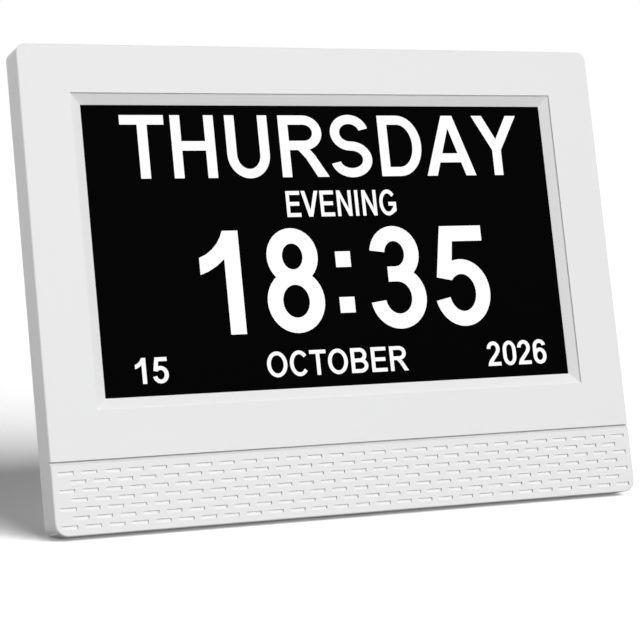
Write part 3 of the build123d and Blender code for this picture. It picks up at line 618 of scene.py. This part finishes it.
# Each letter has its advance, the gap before it, and its strokes.
LETTERS = {
    "A": (1.01, 0.00, [
        Wedge((0, 0), (0.205, 0), (0.5, 0.79), (0.5, 1), (0.388, 1), middle=0.5),
        beam(0.2, 0.8, 0.22),
    ]),
    "B": (1.01, 0.10, [
        stem(0), top_beam(0.1, 0.45), beam(0.1, 0.46, 0.428), beam(0.1, 0.46),
        half_bow(0.44, 0.714, 0.34, 0.286), half_bow(0.45, 0.289, 0.38, 0.289),
    ]),
    "C": (1.01, 0.066, [Bow(0.46, 0.5, 0.46, 0.5 + OVERSHOOT, 38, 284)]),
    "D": (1.01, 0.10, [stem(0), top_beam(0.1, 0.39), beam(0.1, 0.39), half_bow(0.38, 0.5, 0.46, 0.5)]),
    "E": (0.93, 0.10, [stem(0), top_beam(0.1, 0.75), beam(0.1, 0.70, 0.43), beam(0.1, 0.765)]),
    "G": (1.09, 0.06, [
        Bow(0.47, 0.5, 0.47, 0.5 + OVERSHOOT, 38, 287), beam(0.50, 0.93, 0.375),
        Wedge((0.669, 0.036), (0.93, 0.17), (0.93, 0.45), (0.75, 0.45), (0.75, 0.25)),
    ]),
    "H": (1.01, 0.10, [stem(0), stem(0.62), beam(0.1, 0.7, 0.437)]),
    "I": (0.39, 0.09, [stem(0)]),
    "N": (1.01, 0.10, [
        Bar(0, 0, 0.175, 1), Bar(0.625, 0, 0.8, 1), Wedge((0, 1), (0.18, 1), (0.8, 0), (0.62, 0)),
    ]),
    "O": (1.09, 0.06, [Bow(0.485, 0.5, 0.485, 0.5 + OVERSHOOT)]),
    "R": (1.01, 0.10, [
        stem(0), top_beam(0.1, 0.48), beam(0.1, 0.48, 0.438), half_bow(0.47, 0.719, 0.35, 0.281),
        Wedge((0.33, 0.45), (0.55, 0.46), (0.65, 0.36), (0.90, 0), (0.68, 0), (0.48, 0.30)),
    ]),
    "S": (0.93, 0.05, [
        Bow(0.405, 0.7185, 0.375, 0.2935, 14, 258), Bow(0.405, 0.2815, 0.405, 0.2935, -166, 258),
    ]),
    "T": (0.85, 0.03, [top_beam(0, 0.8), stem(0.31, 0, 0.9)]),
    "U": (1.01, 0.10, [stem(0, 0.36), stem(0.62, 0.36), Bow(0.4, 0.37, 0.4, 0.382, 180, 180)]),
    "V": (0.93, 0.00, [Wedge((0, 1), (0.208, 1), (0.465, 0.25), (0.465, 0), (0.355, 0), middle=0.465)]),
    "Y": (0.93, 0.00, [
        Wedge((0, 1), (0.216, 1), (0.465, 0.605), (0.465, 0.36), (0.375, 0.42), middle=0.465),
        stem(0.375, 0, 0.5),
    ]),
    "0": (0.78, 0.055, [
        Bow(0.335, 0.62, 0.335, 0.39, 0, 180), Bow(0.335, 0.38, 0.335, 0.39, 180, 180),
        stem(0, 0.37, 0.63), stem(0.49, 0.37, 0.63),
    ]),
    "1": (0.78, 0.084, [
        stem(0.285),
        Wedge(
            (0, 0.58), (0.09, 0.61), (0.19, 0.66), (0.29, 0.73), (0.31, 1), (0.285, 1), (0.26, 0.945),
            (0.215, 0.88), (0.15, 0.82), (0.08, 0.775), (0, 0.745),
        ),
    ]),
    "2": (0.78, 0.035, [
        Bow(0.325, 0.70, 0.325, 0.31, -28, 206),
        Wedge(
            (0, 0), (0.30, 0), (0.27, 0.145), (0.31, 0.215), (0.40, 0.31), (0.53, 0.44), (0.612, 0.555),
            (0.453, 0.625), (0.385, 0.525), (0.23, 0.37), (0.10, 0.24), (0.03, 0.12),
        ),
        beam(0.1, 0.67),
    ]),
    "3": (0.78, 0.038, [
        Bow(0.32, 0.735, 0.30, 0.277, -90, 262), Bow(0.325, 0.298, 0.34, 0.31, -172, 262),
        beam(0.22, 0.34, 0.458),
    ]),
    "5": (0.78, 0.05, [
        Bar(0.13, 0.845, 0.635, 1),
        Wedge((0.025, 0.485), (0.205, 0.452), (0.225, 0.60), (0.262, 0.86), (0.13, 1), (0.117, 1)),
        Bow(0.33, 0.325, 0.345, 0.337, -167, 305),
    ]),
    "6": (0.78, 0.046, [
        Bow(0.345, 0.325, 0.335, 0.337), stem(0.01, 0.33, 0.70), Bow(0.345, 0.70, 0.335, 0.312, 16, 164),
    ]),
    "8": (0.78, 0.043, [Bow(0.335, 0.735, 0.30, 0.277), Bow(0.335, 0.298, 0.335, 0.31)]),
    ":": (0.465, 0.107, [stem(0, 0.167, 0.322), stem(0, 0.617, 0.772)]),
}

# Each line of the display: its words, and its left, right, bottom and top in millimetres
# from the middle of the glass.
DISPLAY_LINES = {
    "display_weekday": ("THURSDAY", -65.5, 68.3, 21.1, 40.3),
    "display_day_period": ("EVENING", -14.4, 22.6, 8.8, 16.8),
    "display_time": ("18:35", -44.3, 52.3, -26.3, 5.0),
    "display_day": ("15", -67.3, -57.1, -39.6, -32.0),
    "display_month": ("OCTOBER", -25.8, 21.1, -39.6, -32.0),
    "display_year": ("2026", 48.9, 70.0, -39.6, -32.0),
}


def spelled(words):
    """A bmesh of the words, a capital 1 high, standing on the origin."""
    bm = bmesh.new()
    pen = 0.0
    for letter in words:
        advance, gap, strokes = LETTERS[letter]
        before = set(bm.verts)
        for stroke in strokes:
            stroke.draw(bm)
        drawn = [vert for vert in bm.verts if vert not in before]
        bmesh.ops.translate(bm, verts=drawn, vec=(pen + gap, 0, 0))
        pen += advance
    return bm


def fit_to(bm, left, right, bottom, top, thickness):
    """Stretches a flat drawing to the box that it has to fill, a capital's height from bottom to top."""
    low = min(vert.co.x for vert in bm.verts)
    high = max(vert.co.x for vert in bm.verts)
    across = (right - left) / (high - low)
    bmesh.ops.translate(bm, verts=bm.verts, vec=(-low, 0, 0))
    bmesh.ops.scale(bm, verts=bm.verts, vec=(across, top - bottom, thickness))
    bmesh.ops.translate(bm, verts=bm.verts, vec=(left, bottom, 0))


def join_strokes(piece):
    """Joins the strokes of each letter, which overlap, into one clean outline."""
    bpy.ops.object.select_all(action="DESELECT")
    bpy.context.view_layer.objects.active = piece
    piece.select_set(True)
    bpy.ops.object.mode_set(mode="EDIT")
    bpy.ops.mesh.select_all(action="SELECT")
    bpy.ops.mesh.intersect_boolean(operation="UNION", use_self=True, solver="EXACT")
    bpy.ops.object.mode_set(mode="OBJECT")
    piece.select_set(False)


class CLOCK_OT_lettering(bpy.types.Operator):
    """Light the weekday, part of the day, time and date on the display"""

    bl_idname = "clock.lettering"
    bl_label = "Lettering"

    def execute(self, context):
        thickness = context.scene.day_clock_sizes.letter_thickness
        on_glass = leaning_place(GLASS_CENTRE.x, GLASS_CENTRE.y, GLASS_HIGH.z)
        for name, (words, left, right, bottom, top) in DISPLAY_LINES.items():
            bm = spelled(words)
            fit_to(bm, left * MM, right * MM, bottom * MM, top * MM, thickness)
            join_strokes(make_piece(name, bm, on_glass, "clock", "display", "lit_letters"))
        return {"FINISHED"}


# ---------------------------------------------------------------- buttons

# The marks on the buttons, drawn with the strokes of the letters in a square 1 wide and 1 high.
MARKS = {
    "power": [Bow(0.5, 0.46, 0.46, 0.46, 128, 284, 0.12, 0.12), Bar(0.44, 0.48, 0.56, 1.0)],
    "menu": [Bar(0.05, 0.78, 0.95, 0.90), Bar(0.05, 0.44, 0.95, 0.56), Bar(0.05, 0.10, 0.95, 0.22)],
    "up": [Wedge((0.06, 0.24), (0.94, 0.24), (0.5, 0.86))],
    "down": [Wedge((0.06, 0.76), (0.5, 0.14), (0.94, 0.76))],
    "left": [Wedge((0.76, 0.06), (0.76, 0.94), (0.14, 0.5))],
    "right": [Wedge((0.24, 0.06), (0.86, 0.5), (0.24, 0.94))],
    "exit": [Wedge((0.10, 0.19), (0.19, 0.10), (0.90, 0.81), (0.81, 0.90), middle=0.5)],
}


class CLOCK_OT_buttons(bpy.types.Operator):
    """Mould the seven push buttons, with rounded caps, flanges, stems and printed marks"""

    bl_idname = "clock.buttons"
    bl_label = "Buttons"

    def execute(self, context):
        sizes = context.scene.day_clock_sizes
        for name, strokes in MARKS.items():
            node = f"button_{name}"
            low, high = leaning_box(node)
            on_cover = leaning_place((low.x + high.x) / 2, (low.y + high.y) / 2, low.z, facing=-1)
            cap = self.cap(sizes, high - low)
            make_piece(f"{node}_cap", cap, on_cover, node, "button", "satin_grey", node)
            mark = self.mark(sizes, strokes)
            join_strokes(make_piece(f"{node}_mark", mark, on_cover, node, "button", "mark_print"))
        return {"FINISHED"}

    def cap(self, sizes, extent):
        """The cap, whose top lies on the drawing, with its flange and its stem below."""
        bm = bmesh.new()
        width, height = (side - 2 * sizes.flange_width for side in extent.xy)
        flange_bottom = -sizes.cap_depth - sizes.flange_depth
        add_block(bm, width, height, -sizes.cap_depth, 0)
        round_edges(bm, upright_edges(bm), sizes.button_corner, CORNER_STEPS)
        round_edges(bm, level_with(bm.edges, 0), sizes.button_edge, EDGE_STEPS)
        add_block(bm, extent.x, extent.y, flange_bottom, -sizes.cap_depth)
        add_block(bm, sizes.stem_width, sizes.stem_width, -extent.z, flange_bottom)
        return bm

    def mark(self, sizes, strokes):
        """A mark in the middle of the cap, half sunk into it."""
        bm = bmesh.new()
        for stroke in strokes:
            stroke.draw(bm)
        bmesh.ops.translate(bm, verts=bm.verts, vec=(-0.5, -0.5, -0.5))
        bmesh.ops.scale(bm, verts=bm.verts, vec=(sizes.mark_size, sizes.mark_size, sizes.mark_height))
        return bm


# ---------------------------------------------------------------- cover screws

# The screws are tightened to unlike angles: each is turned by this much for every corner
# of the screws before it.
SCREW_TURN = 0.3


class CLOCK_OT_screws(bpy.types.Operator):
    """Turn the four screws of the rear cover, with domed heads"""

    bl_idname = "clock.screws"
    bl_label = "Cover screws"

    def execute(self, context):
        sizes = context.scene.day_clock_sizes
        low, high = leaning_box("cover_screws")
        pattern = self.screw(sizes, high.z - low.z)
        bm = bmesh.new()
        for across in (low.x + sizes.screw_head, high.x - sizes.screw_head):
            for up in (low.y + sizes.screw_head, high.y - sizes.screw_head):
                before = set(bm.verts)
                bm.from_mesh(pattern)
                screw = [vert for vert in bm.verts if vert not in before]
                tightened = Matrix.Rotation(SCREW_TURN * len(before), 3, "Z")
                bmesh.ops.rotate(bm, verts=screw, matrix=tightened)
                bmesh.ops.transform(bm, verts=screw, matrix=leaning_place(across, up, low.z, facing=-1))
        bpy.data.meshes.remove(pattern)
        make_piece("cover_screw_set", bm, Matrix(), "clock", "screw", "nickel_plate", "cover_screws")
        return {"FINISHED"}

    def screw(self, sizes, reach):
        """A mesh of one screw, whose head's top lies on the drawing."""
        bm = bmesh.new()
        add_round_bar(bm, sizes.screw_head, -sizes.screw_head_depth, 0)
        round_edges(bm, level_with(bm.edges, 0), sizes.screw_dome, DOME_STEPS)
        self.sink_cross(bm, sizes.recess_width / 2, sizes.recess_length / 2, sizes.recess_depth)
        add_round_bar(bm, sizes.screw_shank, -reach, -sizes.screw_head_depth)
        pattern = bpy.data.meshes.new("screw")
        bm.to_mesh(pattern)
        bm.free()
        return pattern

    def sink_cross(self, bm, half, reach, depth):
        """Sinks a cross recess under the flat top of the head, which stays and covers it."""
        for side in (Vector((1, 0, 0)), Vector((0, 1, 0))):
            for offset in (-reach, -half, half, reach):
                top = level_with(bm.faces, 0)
                around = {item for face in top for item in (*face.edges, *face.verts)}
                bmesh.ops.bisect_plane(bm, geom=[*top, *around], plane_co=side * offset, plane_no=side)
        cross = []
        for face in level_with(bm.faces, 0):
            centre = face.calc_center_median()
            near, far = sorted((abs(centre.x), abs(centre.y)))
            if near < half and far < reach:
                cross.append(face)
        raise_faces(bm, cross, -depth)


# ---------------------------------------------------------------- finishes


class CLOCK_OT_finishes(bpy.types.Operator):
    """Give every piece of the frame its finish"""

    bl_idname = "clock.finishes"
    bl_label = "Finishes"

    def execute(self, context):
        colours = context.scene.day_clock_colours
        finishes = all_finishes(colours)
        lit_letters("lit_letters", colours.lettering)
        moulded_plastic("mark_print", colours.mark, 0.2 * MM, 0.004 * MM, 0.5)
        for node in frame["nodes"].values():
            for index, material in enumerate(node.data.materials):
                node.material_slots[index].material = finishes[material.name.split(".")[0]]
        return {"FINISHED"}


# ---------------------------------------------------------------- stage

# Half the floor's width in metres, the level that it reflects on to the clock, and its glow where seen.
FLOOR_REACH = 30
FLOOR_BOUNCE = 0.12
FLOOR_GLOW = 0.125


def link_new(name, data):
    """Adds an object that holds the given data to the scene."""
    made = bpy.data.objects.new(name, data)
    bpy.context.scene.collection.objects.link(made)
    return made


def floor_finish():
    """A pale floor that keeps the clock's shadow, and looks white where nothing shades it."""
    nodes = Finish("floor_white")
    grain = nodes.noise(3 * MM)
    lit = nodes.add("ShaderNodeBsdfDiffuse", {}, {"Color": (*grey(FLOOR_BOUNCE), 1), "Roughness": 0.5})
    pale = nodes.between(grain, grey(0.99), grey(1.01))
    white = nodes.add("ShaderNodeBsdfDiffuse", {}, {"Color": pale, "Roughness": 0.0})
    glow = nodes.add("ShaderNodeEmission", {}, {"Color": (*grey(1.0), 1), "Strength": FLOOR_GLOW})
    seen = nodes.add("ShaderNodeAddShader", {}, {0: white, 1: glow})
    mixed = nodes.add("ShaderNodeMixShader", {}, {"Fac": nodes.rays_to_the_eye(), 1: lit, 2: seen})
    nodes.add("ShaderNodeOutputMaterial", {}, {"Surface": mixed})
    return nodes.material


class CLOCK_OT_stage(bpy.types.Operator):
    """Lay the floor, and set the lights and the camera"""

    bl_idname = "clock.stage"
    bl_label = "Stage"

    def execute(self, context):
        view = context.scene.day_clock_view
        context.scene.view_settings.view_transform = "Standard"
        pieces = [piece for piece in context.scene.objects if piece.type == "MESH"]
        clock = self.group("clock_pieces", pieces)
        floor = self.group("floor_pieces", [self.lay_floor()])
        self.light_world(view)
        self.hang_sun("key", view.key_angles, view.key_strength, clock)
        self.hang_sun("floor_light", view.floor_angles, view.floor_strength, floor)
        self.stand_box("side_box", view.side_place, view.side_power, view.box_width, clock)
        self.stand_box("back_box", view.back_place, view.back_power, view.box_width, clock)
        self.stand_camera(view)
        return {"FINISHED"}

    def group(self, name, pieces):
        """A collection of the pieces that one light falls on."""
        lit = bpy.data.collections.new(name)
        for piece in pieces:
            lit.objects.link(piece)
        return lit

    def lay_floor(self):
        """The floor, which is no part of the clock."""
        bm = bmesh.new()
        bmesh.ops.create_grid(bm, x_segments=1, y_segments=1, size=FLOOR_REACH)
        mesh = bpy.data.meshes.new("floor")
        bm.to_mesh(mesh)
        bm.free()
        mesh.materials.append(floor_finish())
        floor = link_new("floor", mesh)
        return floor

    def light_world(self, view):
        """A white background that lights the clock only faintly."""
        world = bpy.data.worlds.new("studio")
        world.use_nodes = True
        bpy.context.scene.world = world
        nodes = Nodes(world.node_tree)
        strength = view.fill_strength + (1 - view.fill_strength) * nodes.rays_to_the_eye()
        sky = nodes.add("ShaderNodeBackground", {}, {"Color": (*grey(1.0), 1), "Strength": strength})
        nodes.add("ShaderNodeOutputWorld", {}, {"Surface": sky})

    def hang_sun(self, name, angles, strength, lit):
        """A wide soft sun that falls on one collection alone."""
        heading, height, spread = angles
        lamp = bpy.data.lights.new(name, "SUN")
        lamp.energy = strength
        lamp.angle = spread
        sun = link_new(name, lamp)
        sun.rotation_euler = (math.pi / 2 - height, 0, heading)
        sun.light_linking.receiver_collection = lit

    def stand_box(self, name, at, power, width, lit):
        """A soft box turned to the clock, which no smooth face mirrors."""
        lamp = bpy.data.lights.new(name, "AREA")
        lamp.energy = power
        lamp.size = width
        box = link_new(name, lamp)
        box.location = at
        box.rotation_euler = (CLOCK_CENTRE - Vector(at)).to_track_quat("-Z", "Y").to_euler()
        box.visible_glossy = False
        box.light_linking.receiver_collection = lit

    def stand_camera(self, view):
        """The camera, a little above the clock and to its left."""
        lens = bpy.data.cameras.new("camera")
        lens.lens = view.camera_lens
        camera = link_new("camera", lens)
        camera.location = view.camera_place
        camera.rotation_euler = (math.pi / 2 - view.camera_dip, 0, -view.camera_heading)
        bpy.context.scene.camera = camera


# ---------------------------------------------------------------- panel and registration


class CLOCK_PT_panel(bpy.types.Panel):
    """The steps that dress the clock, and the values they use"""

    bl_idname = "CLOCK_PT_panel"
    bl_label = "Day Clock"
    bl_space_type = "VIEW_3D"
    bl_region_type = "UI"
    bl_category = "Day Clock"

    def draw(self, context):
        for step in STEPS:
            self.layout.operator(step.bl_idname)
        for name in GROUPS:
            group = getattr(context.scene, name)
            box = self.layout.box()
            for value in group.__annotations__:
                box.prop(group, value)


STEPS = (CLOCK_OT_finishes, CLOCK_OT_lettering, CLOCK_OT_buttons, CLOCK_OT_screws, CLOCK_OT_stage)
GROUPS = {
    "day_clock_sizes": DayClockSizes,
    "day_clock_colours": DayClockColours,
    "day_clock_view": DayClockView,
}
CLASSES = (*GROUPS.values(), *STEPS, CLOCK_PT_panel)


def register():
    """Makes the classes known, and gives the scene its values."""
    for kind in CLASSES:
        bpy.utils.register_class(kind)
    for name, group in GROUPS.items():
        setattr(bpy.types.Scene, name, bpy.props.PointerProperty(type=group))


def unregister():
    """Takes the values and the classes away again."""
    for name in GROUPS:
        delattr(bpy.types.Scene, name)
    for kind in reversed(CLASSES):
        bpy.utils.unregister_class(kind)


def main():
    """Dresses the clock step by step."""
    register()
    bpy.ops.clock.finishes()
    bpy.ops.clock.lettering()
    bpy.ops.clock.buttons()
    bpy.ops.clock.screws()
    bpy.ops.clock.stage()


if __name__ == "__main__":
    main()
